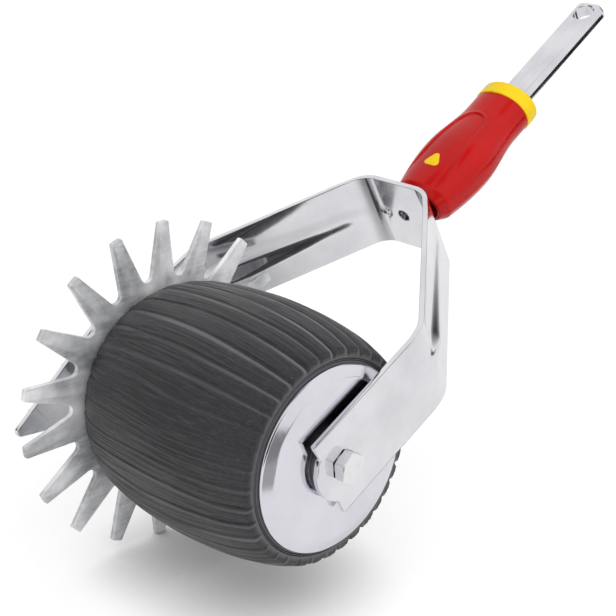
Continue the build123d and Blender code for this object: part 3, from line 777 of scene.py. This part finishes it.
# Tang and weld
def build_tang(finish):
    """Flat bar whose sides slope in at the top, with a rounded end and a chamfered lock hole."""
    hole_h = (Vector(lock_hole["pos_m"]) - grip_root).dot(grip_axis)
    deep = 2 * TANG_TOP_INSET
    corners = (
        (deep, -tang_half_t),
        (0, -tang_half_t),
        (0, 0),
        (TANG_TOP_INSET, tang_half_t),
        (deep, tang_half_t),
    )
    profile = rounded(corners, (0, TANG_EDGE_R, TANG_BREAK_R, TANG_EDGE_R, 0), steps=8)[1:-1]
    rows = []
    for inset, u in profile:
        side = tang_half_w - inset
        end = tang_len - inset
        corners = ((0, -side), (end, -side), (end, side), (0, side))
        outline = rounded(corners, (0, TANG_END_R - inset, TANG_END_R - inset, 0), steps=9)
        rows.append([(x, h, u) for h, x in outline])
    points = [place for row in rows for place in row]
    faces = grid_faces(len(rows), len(rows[0]), False)
    rim = TANG_HOLE_R + TANG_CHAMFER
    for row, u in ((rows[0], -tang_half_t), (rows[-1], tang_half_t)):
        for part in split_at_hole([(h, x) for x, h, _ in row], hole_h, rim):
            faces.append(list(range(len(points), len(points) + len(part))))
            points += [(x, h, u) for h, x in part]
    wall = tang_half_t - TANG_CHAMFER
    angles = np.linspace(-pi / 2, 3 * pi / 2, 33)[:-1]
    first = len(points)
    for u, radius in ((-tang_half_t, rim), (-wall, TANG_HOLE_R), (wall, TANG_HOLE_R), (tang_half_t, rim)):
        points += [(radius * sin(a), hole_h + radius * cos(a), u) for a in angles]
    faces += (np.array(grid_faces(4, len(angles), False)) + first).tolist()
    x, h, u = np.array(points).T
    add_piece("tang", grip_points(x, h, u), faces, finish, "root", sharp=TANG_SHARP)


def build_weld(finish):
    """Rippled bead round the tang's foot."""
    angle = full_turn(180)
    across, up = oval(angle, 1 / 3)
    ripple = 1 - WELD_RIPPLE_H * (1 + np.sin(WELD_RIPPLES * angle + np.sin(5 * angle)))
    rows = []
    for turn in np.linspace(0, pi / 2, 9):
        out = WELD_LEG * cos(turn) * ripple
        rows.append((across * (tang_half_w + out), up * (tang_half_t + out), WELD_LEG * sin(turn) * ripple))
    rows.append((across * tang_half_w, up * tang_half_t, 0 * angle))
    x, w, v = (np.stack([row[i] for row in rows]) for i in range(3))
    points = tool_points(grip_x + x, bridge_out + v, w)
    add_piece("tang_weld", points, grid_faces(len(rows), len(angle), True), finish, "root")


# Sleeve, collar and inlay
def sleeve_rx(h):
    """Half width of the sleeve at heights h above its foot, with a belly and a waist."""
    swell = (SLEEVE_BELLY_RX - SLEEVE_FOOT_RX) * np.sin(pi / 2 * np.clip(h / SLEEVE_BELLY_AT, 0, 1))
    ease = np.clip((h - SLEEVE_BELLY_AT) / (SLEEVE_WAIST_AT - SLEEVE_BELLY_AT), 0, 1)
    fall = (SLEEVE_BELLY_RX - SLEEVE_WAIST_RX) * (1 - np.cos(pi * ease)) / 2
    return SLEEVE_FOOT_RX + swell - fall


def panel_sink(x, h):
    """How far the arch panel is sunk, x across and h above the foot; it fades out towards the foot."""
    along = h - PANEL_START
    straight = PANEL_LEN - PANEL_HEAD_HALF
    half = PANEL_FOOT_HALF + (PANEL_HEAD_HALF - PANEL_FOOT_HALF) * np.clip(along / straight, 0, 1)
    inside = half - np.hypot(x, np.maximum(along - straight, 0))
    sunk = PANEL_DEPTH * smooth_step(inside / PANEL_SOFT + 0.5)
    rim = PANEL_RIM * bell((inside / PANEL_SOFT + PANEL_RIM_AT) / PANEL_RIM_W)
    return (sunk - rim) * smooth_step(along / PANEL_LEN * PANEL_FADE)


def sleeve_top(x, h):
    """Height of the sleeve's upper face off the tang's middle, x across and h above the foot."""
    rx = sleeve_rx(h)
    bow = (1 - np.clip(np.abs(x) / rx, 0, 1) ** SLEEVE_FULLNESS) ** (1 / SLEEVE_FULLNESS)
    return rx * SLEEVE_FLATNESS * bow - panel_sink(x, h)


def slot_ring(angle):
    """Places on the slot that the tang passes through, at angles round it."""
    ray = np.minimum(
        (tang_half_w + SEAT_GAP) / np.maximum(np.abs(np.cos(angle)), TOUCH),
        (tang_half_t + SEAT_GAP) / np.maximum(np.abs(np.sin(angle)), TOUCH),
    )
    return ray * np.cos(angle), ray * np.sin(angle)


def add_tube(node, rows, finish, sharp=SHARP_ANGLE):
    """Piece in the grip's axes from rows of (x, h, u) arrays, closed from the last row to the first."""
    x, h, u = (np.stack([np.broadcast_to(row[i], rows[1][0].shape) for row in rows]) for i in range(3))
    faces = grid_faces(len(rows), x.shape[1], True)
    add_piece(node, grip_points(x, h, u), faces, finish, "root", sharp=sharp)


def build_sleeve(finish):
    """Swelling oval grip with a hollow foot, a sunk arch panel and a soft ridge along each side."""
    angle = full_turn(400)
    across, up = oval(angle, 2 / SLEEVE_FULLNESS)
    off_ridge = np.abs(angle - 3 * pi / 2) - pi / 2 + RIDGE_DROP
    ridge = RIDGE_SHARE * bell(off_ridge / RIDGE_W)
    corners = ((0, FOOT_INSET + FOOT_WALL), (0, FOOT_INSET), (FOOT_H, 0), (sleeve_len, 0))
    stations = [tuple(place) for place in rounded(corners, (0, FOOT_EDGE_R, FOOT_TOP_R, 0))[:-1]]
    stations += [(h, 0) for h in np.linspace(stations[-1][0], sleeve_len, 170)[1:]]
    slot_x, slot_u = slot_ring(angle)
    hollow_x = (SLEEVE_FOOT_RX - FOOT_INSET - FOOT_WALL) * across
    hollow_u = (SLEEVE_FOOT_RX * SLEEVE_FLATNESS - FOOT_INSET - FOOT_WALL) * up
    floor_h = sleeve_foot + FOOT_HOLLOW
    rows = [(slot_x, floor_h, slot_u), (hollow_x, floor_h, hollow_u), (hollow_x, sleeve_foot, hollow_u)]
    for h, inset in stations:
        rx = sleeve_rx(h) - inset
        ru = sleeve_rx(h) * SLEEVE_FLATNESS - inset
        swell = 1 + ridge * smooth_step(h / RIDGE_FOOT) * smooth_step((SLEEVE_WAIST_AT - h) / RIDGE_HEAD)
        x = rx * across * swell
        u = ru * up * swell - np.where(up > 0, panel_sink(rx * across, h), 0)
        rows.append((x, sleeve_foot + h, u))
    rows.append((slot_x, sleeve_head, slot_u))
    add_tube("grip_sleeve", rows, finish, sharp=SLEEVE_SHARP)


def build_collar(finish):
    """Oval ring above the sleeve, its edges rounded."""
    angle = full_turn(192)
    slot_x, slot_u = slot_ring(angle)
    corners = ((sleeve_head, COLLAR_DEPTH), (sleeve_head, 0), (collar_head, 0), (collar_head, COLLAR_DEPTH))
    profile = rounded(corners, (0, COLLAR_FOOT_ROUND, COLLAR_ROUND, 0), steps=7)
    rows = [(slot_x, sleeve_head, slot_u)]
    rows += [((COLLAR_RX - d) * np.cos(angle), h, (COLLAR_RU - d) * np.sin(angle)) for h, d in profile]
    rows.append((slot_x, collar_head, slot_u))
    add_tube("collar_ring", rows, finish)


def build_inlay(finish):
    """Plain rounded triangle that follows the panel and stands a little proud of it."""
    foot = INLAY_AT - INLAY_H / 2
    corners = ((-INLAY_W / 2, foot), (INLAY_W / 2, foot), (0, foot + INLAY_H))
    rim = rounded(corners, (INLAY_CORNER_R,) * 3, steps=9)
    middle = rim.mean(axis=0)
    rings = [(0, -INLAY_SUNK), (1, -INLAY_SUNK)]
    rings += [(1, 0.4 * INLAY_PROUD), (0.985, 0.8 * INLAY_PROUD), (0.95, INLAY_PROUD)]
    rings += [(share, INLAY_PROUD) for share in (0.75, 0.5, 0.25, 0)]
    rows = []
    for share, proud in rings:
        x, h = (middle + (rim - middle) * share).T
        rows.append((x, sleeve_foot + h, sleeve_top(x, h) + proud))
    add_tube("badge_inlay", rows, finish)


# Materials
RUBBER_DARK = (0.003, 0.003, 0.004)
RUBBER_LIGHT = (0.015, 0.015, 0.018)
RUBBER_LINES = (0.066, 0.065, 0.077, 1)
RUBBER_CLOUDS = (0.010, 0.010, 0.012, 1)
RUBBER_CRESTS = (0.20, 0.199, 0.214, 1)
RUBBER_GROOVES = (0.006, 0.006, 0.007, 1)


def new_finish(name):
    """New material with its node tree and its shader."""
    material = bpy.data.materials.new(name)
    material.use_nodes = True
    tree = material.node_tree
    return material, tree, tree.nodes["Principled BSDF"]


def feed(tree, node, inputs):
    """Sets a node's inputs to values, or links them from other nodes."""
    for key, value in inputs.items():
        if isinstance(value, bpy.types.NodeSocket):
            tree.links.new(value, node.inputs[key])
        else:
            node.inputs[key].default_value = value


def add_node(tree, kind, inputs, **settings):
    """New node with its settings and its inputs."""
    node = tree.nodes.new(kind)
    for key, value in settings.items():
        setattr(node, key, value)
    feed(tree, node, inputs)
    return node


def noise(tree, scale, detail=4.0, roughness=0.55):
    """Noise from 0 to 1 over the object's own places, with its scale per metre along each axis."""
    place = add_node(tree, "ShaderNodeTexCoord", {}).outputs["Object"]
    mapped = add_node(tree, "ShaderNodeMapping", {"Vector": place, "Scale": scale}).outputs["Vector"]
    inputs = {"Vector": mapped, "Scale": 1.0, "Detail": detail, "Roughness": roughness}
    return add_node(tree, "ShaderNodeTexNoise", inputs).outputs["Fac"]


def ramp(tree, factor, stops):
    """Colour that runs through stops of (place, colour) as a factor goes from 0 to 1."""
    node = add_node(tree, "ShaderNodeValToRGB", {"Fac": factor})
    line = node.color_ramp.elements
    while len(line) < len(stops):
        line.new(0.5)
    for element, (place, colour) in zip(line, stops):
        element.position = place
        element.color = (*colour, 1)
    return node.outputs["Color"]


def remap(tree, value, low, high, to_low, to_high):
    """Value carried from one range to another."""
    inputs = {"Value": value, "From Min": low, "From Max": high, "To Min": to_low, "To Max": to_high}
    return add_node(tree, "ShaderNodeMapRange", inputs).outputs["Result"]


def blend(tree, factor, first, second):
    """Mix of two colours."""
    inputs = {0: factor, 6: first, 7: second}
    return add_node(tree, "ShaderNodeMix", inputs, data_type="RGBA").outputs[2]


def mix_value(tree, factor, first, second):
    """Mix of two numbers."""
    return add_node(tree, "ShaderNodeMix", {0: factor, 2: first, 3: second}).outputs[0]


def bump(tree, height, strength, distance):
    """Normal that a height map bends."""
    inputs = {"Height": height, "Strength": strength, "Distance": distance}
    return add_node(tree, "ShaderNodeBump", inputs).outputs["Normal"]


def rubber_finish():
    """Charcoal rubber with fine streaks along the ribs, darker in grooves and paler on rubbed crests."""
    material, tree, shader = new_finish("charcoal_rubber")
    streak = noise(tree, (22, 620, 620), 6, 0.65)
    cloud = noise(tree, (45, 45, 45), 3)
    thread = noise(tree, (16, 1300, 1300), 3, 0.5)
    tone = ramp(tree, streak, ((0.3, RUBBER_DARK), (0.7, RUBBER_LIGHT)))
    lined = blend(tree, remap(tree, thread, 0.55, 0.72, 0, 0.55), tone, RUBBER_LINES)
    worn = blend(tree, remap(tree, cloud, 0.35, 0.7, 0, 0.3), lined, RUBBER_CLOUDS)
    groove = add_node(tree, "ShaderNodeAttribute", {}, attribute_name="groove").outputs["Fac"]
    crest = add_node(tree, "ShaderNodeAttribute", {}, attribute_name="crest").outputs["Fac"]
    rubbed = blend(tree, remap(tree, crest, 0.1, 1, 0, 0.9), worn, RUBBER_CRESTS)
    colour = blend(tree, remap(tree, groove, 0, 1, 0, 0.85), rubbed, RUBBER_GROOVES)
    feed(tree, shader, {
        "Base Color": colour,
        "Roughness": remap(tree, streak, 0.25, 0.75, 0.30, 0.52),
        "Specular IOR Level": 0.6,
        "Normal": bump(tree, streak, 0.8, 0.7 * MM),
    })
    return material


def steel_finish(name, dark, light, smooth, rough, grain, relief, metallic):
    """Steel: clouded tone, grain with its own scale along each axis, and uneven gloss."""
    material, tree, shader = new_finish(name)
    lines = noise(tree, grain, 5, 0.6)
    cloud = noise(tree, (34, 34, 34), 4, 0.6)
    tone = ramp(tree, cloud, ((0.34, dark), (0.62, light)))
    colour = blend(tree, remap(tree, lines, 0.4, 0.75, 0, 0.5), tone, (*light, 1))
    feed(tree, shader, {
        "Base Color": colour,
        "Metallic": metallic,
        "Roughness": remap(tree, lines, 0.3, 0.7, smooth, rough),
        "Normal": bump(tree, lines, relief, 0.2 * MM),
    })
    return material


def plastic_finish(name, dark, light, roughness, specular, texture, relief):
    """Moulded plastic: slight colour drift and a fine grain in its gloss."""
    material, tree, shader = new_finish(name)
    cloud = noise(tree, (38, 38, 38), 3)
    grain = noise(tree, (texture,) * 3, 3)
    feed(tree, shader, {
        "Base Color": ramp(tree, cloud, ((0.3, dark), (0.7, light))),
        "Roughness": remap(tree, grain, 0.3, 0.7, roughness - 0.06, roughness + 0.06),
        "Specular IOR Level": specular,
        "Normal": bump(tree, grain, relief, 0.08 * MM),
    })
    return material


def dress(finish, *names):
    """Gives CAD nodes that stay shown a finish."""
    for name in names:
        for place in frame["nodes"][name].material_slots:
            place.material = finish


# Stage
WHITE = (1, 1, 1, 1)
FLOOR_SIZE = 24.0
FLOOR_TONE = 0.38
BOUNCE_TONE = 0.84
FLOOR_GLOW = 0.68
GLOSS_GLOW = 0.1
CONTACT_REACH = 60 * MM
CONTACT_RANGE = (0.2, 0.85)
AMBIENT = 0.34
SUN_POWER = 2.65
SUN_SPREAD = radians(100)
SUN_TURN = -28
SUN_RISE = 53
WHITE_ROOM = 0.95
DARK_LEVEL = 0.04
# Dark patches that shiny things mirror: turn, rise, and reach of core and of soft edge, in degrees
DARK_PATCHES = ((-45, 6, 20, 42), (88, 18, 8, 22), (-138, 10, 14, 30), (-125, 70, 5, 13), (-15, 74, 7, 16))
# Cards on the floor that only shiny things see: two corners and a level
CARDS = {
    "near_card": ((0.262, -0.25), (0.45, -0.035), 0.42),
    "middle_card": ((0.45, -0.25), (1.7, 0.1), 0.24),
    "far_card": ((0.45, 0.75), (1.1, 1.8), 0.02),
    "bend_card": ((-0.075, -0.085), (-0.015, -0.045), 0.04),
    "bridge_card": ((-0.32, -0.12), (-0.10, 0.09), 0.9),
}
CARD_RISE = 1 * MM


def toward(turn, rise):
    """Direction at a turn from x towards y and a rise above the floor, both in degrees."""
    level = cos(radians(rise))
    return Vector((level * cos(radians(turn)), level * sin(radians(turn)), sin(radians(rise))))


def greater(tree, first, second):
    """The greater of two numbers."""
    return add_node(tree, "ShaderNodeMath", {0: first, 1: second}, operation="MAXIMUM").outputs[0]


def ray_kinds(tree):
    """Whether a ray is the camera's own, and whether it comes by way of a shiny or clear surface."""
    path = tree.nodes.new("ShaderNodeLightPath").outputs
    return path["Is Camera Ray"], greater(tree, path["Is Glossy Ray"], path["Is Transmission Ray"])


def add_sheet(name, low, high, rise):
    """Level sheet between two corners, and its material's nodes, which have no surface yet."""
    (x_from, y_from), (x_to, y_to) = low, high
    mesh = bpy.data.meshes.new(name)
    corners = [(x_from, y_from, rise), (x_to, y_from, rise), (x_to, y_to, rise), (x_from, y_to, rise)]
    mesh.from_pydata(corners, [], [(0, 1, 2, 3)])
    material, tree, shader = new_finish(name)
    tree.nodes.remove(shader)
    mesh.materials.append(material)
    return add_object(name, mesh), tree


def cover(tree, shader):
    """Links a shader to a material's surface."""
    tree.links.new(shader, tree.nodes["Material Output"].inputs["Surface"])


def build_floor():
    """White floor that glows, less where something stands close above it, so shadows stay light."""
    half = FLOOR_SIZE / 2
    floor, tree = add_sheet("floor", (-half, -half), (half, half), 0)
    direct, mirrored = ray_kinds(tree)
    tone = blend(tree, direct, (*(BOUNCE_TONE,) * 3, 1), (*(FLOOR_TONE,) * 3, 1))
    matt = add_node(tree, "ShaderNodeBsdfDiffuse", {"Color": tone}).outputs[0]
    inputs = {"Distance": CONTACT_REACH}
    clear = add_node(tree, "ShaderNodeAmbientOcclusion", inputs, samples=16).outputs["AO"]
    clear_glow = remap(tree, clear, *CONTACT_RANGE, 0, FLOOR_GLOW)
    strength = mix_value(tree, mirrored, clear_glow, GLOSS_GLOW)
    glow = add_node(tree, "ShaderNodeEmission", {"Color": WHITE, "Strength": strength}).outputs[0]
    lit = add_node(tree, "ShaderNodeAddShader", {0: matt, 1: glow}).outputs[0]
    shown = greater(tree, mirrored, direct)
    cover(tree, add_node(tree, "ShaderNodeMixShader", {0: shown, 1: matt, 2: lit}).outputs[0])


def build_world():
    """White surroundings. Shiny things mirror a white room with dark patches."""
    world = bpy.data.worlds.new("surround")
    bpy.context.scene.world = world
    world.use_nodes = True
    tree = world.node_tree
    direct, mirrored = ray_kinds(tree)
    ray = add_node(tree, "ShaderNodeTexCoord", {}).outputs["Generated"]
    shown = WHITE_ROOM
    for turn, rise, core, edge in DARK_PATCHES:
        inputs = {0: ray, 1: toward(turn, rise)}
        facing = add_node(tree, "ShaderNodeVectorMath", inputs, operation="DOT_PRODUCT").outputs["Value"]
        near = remap(tree, facing, cos(radians(edge)), cos(radians(core)), 0, 1)
        shown = mix_value(tree, near, shown, DARK_LEVEL)
    lit = mix_value(tree, direct, AMBIENT, 1.0)
    strength = mix_value(tree, mirrored, lit, shown)
    feed(tree, tree.nodes["Background"], {"Color": WHITE, "Strength": strength})


def add_card(name, low, high, level):
    """Grey card on the floor that only shiny things see."""
    card, tree = add_sheet(name, low, high, CARD_RISE)
    card.visible_camera = False
    card.visible_diffuse = False
    card.visible_shadow = False
    cover(tree, add_node(tree, "ShaderNodeEmission", {"Color": WHITE, "Strength": level}).outputs[0])


def build_sun():
    """Wide soft light from one direction, the same all over the floor."""
    data = bpy.data.lights.new("sky_light", "SUN")
    data.energy = SUN_POWER
    data.angle = SUN_SPREAD
    lamp = add_object("sky_light", data)
    lamp.visible_glossy = False
    lamp.rotation_euler = (-toward(SUN_TURN, SUN_RISE)).to_track_quat("-Z", "Y").to_euler()


CAMERA_OFFSET = Vector((0.58247, -0.47243, 0.33768))
CAMERA_DIP = radians(21.478)
CAMERA_TURN = radians(44.8)
CAMERA_LENS = 86.43


def build_camera():
    """Camera at the photograph's place, looking down on the roller's right end."""
    data = bpy.data.cameras.new("camera")
    data.lens = CAMERA_LENS
    camera = add_object("camera", data)
    camera.location = axle + CAMERA_OFFSET
    camera.rotation_euler = Euler((pi / 2 - CAMERA_DIP, 0, CAMERA_TURN))
    bpy.context.scene.camera = camera


# Steels: dark and light tone, least and most roughness, grain per metre, its relief, and how metallic
STEELS = {
    "bright_plated_steel": ((0.68, 0.68, 0.71), (0.78, 0.78, 0.81), 0.08, 0.16, (60, 900, 900), 0.02, 1),
    "disc_plated_steel": ((0.69, 0.68, 0.74), (0.75, 0.74, 0.80), 0.11, 0.16, (300, 300, 300), 0.02, 1),
    "satin_blade_steel": ((0.36, 0.37, 0.385), (0.89, 0.89, 0.905), 0.29, 0.50, (300, 55, 480), 0.2, 0.4),
    "drawn_tang_steel": ((0.64, 0.64, 0.68), (0.76, 0.76, 0.80), 0.07, 0.13, (900, 40, 40), 0.02, 1),
    "zinc_plated_steel": ((0.74, 0.74, 0.76), (0.86, 0.86, 0.87), 0.14, 0.26, (500, 500, 500), 0.04, 1),
    # Painted shade: darkened zinc for the thrust washers in the narrow gaps by the arms
    "zinc_painted_shade": ((0.20, 0.20, 0.21), (0.34, 0.34, 0.35), 0.32, 0.46, (500, 500, 500), 0.04, 1),
    "burnt_weld": ((0.10, 0.09, 0.09), (0.34, 0.32, 0.31), 0.28, 0.46, (700, 700, 700), 0.3, 1),
}
# Plastics: dark and light tone, mean roughness, specular level, grain per metre and its relief
PLASTICS = {
    "red_grip_plastic": ((0.43, 0.002, 0.002), (0.49, 0.004, 0.003), 0.17, 0.24, 2600, 0.06),
    "yellow_plastic": ((0.82, 0.56, 0.007), (0.88, 0.62, 0.009), 0.30, 0.2, 2600, 0.05),
    "white_nylon": ((0.66, 0.65, 0.61), (0.74, 0.73, 0.70), 0.45, 0.38, 1800, 0.05),
    # Painted shade: darkened nylon for the bushes in the gaps at the hubs
    "nylon_painted_shade": ((0.07, 0.066, 0.06), (0.12, 0.113, 0.10), 0.35, 0.4, 1800, 0.05),
    "dark_drum_plastic": ((0.03, 0.03, 0.032), (0.05, 0.05, 0.053), 0.5, 0.38, 1400, 0.10),
}
bright, disc_steel, blade_steel, tang_steel, zinc, zinc_painted_shade, weld_steel = (
    steel_finish(name, *look) for name, look in STEELS.items()
)
red, yellow, nylon, shaded_nylon, drum = (plastic_finish(name, *look) for name, look in PLASTICS.items())

build_tyre(rubber_finish())
build_blade(blade_steel)
build_clamp(blade_steel, zinc)
build_disc(disc_steel)
build_axle(zinc, nylon)
build_fork(bright)
build_tang(tang_steel)
build_weld(weld_steel)
build_sleeve(red)
build_collar(yellow)
build_inlay(yellow)
dress(drum, "left_core", "right_core")
# The bushes' dark nylon is painted shade for the gaps at the hubs
dress(shaded_nylon, "left_bush", "right_bush")
dress(zinc, "axle_sleeve", "core_screws")
# The thrust washers' dark zinc is painted shade for the narrow gaps they sit in
dress(zinc_painted_shade, "left_thrust_washer", "right_thrust_washer")

build_floor()
build_world()
for name, card in CARDS.items():
    add_card(name, *card)
build_sun()
build_camera()

bpy.context.scene.view_settings.view_transform = "Standard"
